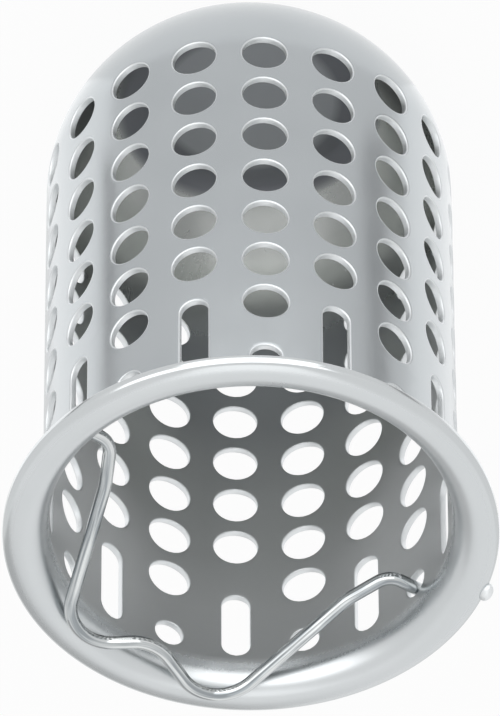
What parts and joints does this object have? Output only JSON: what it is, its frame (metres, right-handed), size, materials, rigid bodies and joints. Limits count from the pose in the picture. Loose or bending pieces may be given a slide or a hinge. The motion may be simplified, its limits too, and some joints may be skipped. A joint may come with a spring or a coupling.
{
  "type": "basket strainer",
  "caption": "Deep perforated drain basket with a flared, curled rim that hangs in a drain, and a folding wire handle for lifting it out.",
  "frame": {"origin": "centre of the closed end's flat foot, on the plane that the cup stands on", "axes": "+Z along the cup's axis out of the mouth, X along the handle's hinge line, +Y the side that the handle is folded to"},
  "size_m": [0.0548, 0.0548, 0.0735],
  "materials": {
    "satin_stainless": "polished stainless steel sheet, slightly satin",
    "polished_wire": "bright drawn stainless steel wire"
  },
  "bodies": {
    "cup": {"strainer_cup": "satin_stainless"},
    "handle": {"bail_handle": "polished_wire"}
  },
  "joints": [
    {"name": "handle_swing", "type": "hinge", "parent": "cup", "child": "handle", "pos_m": [0, 0, 0.06675], "axis": [1, 0, 0], "range_deg": [0, 149.58]}
  ]
}
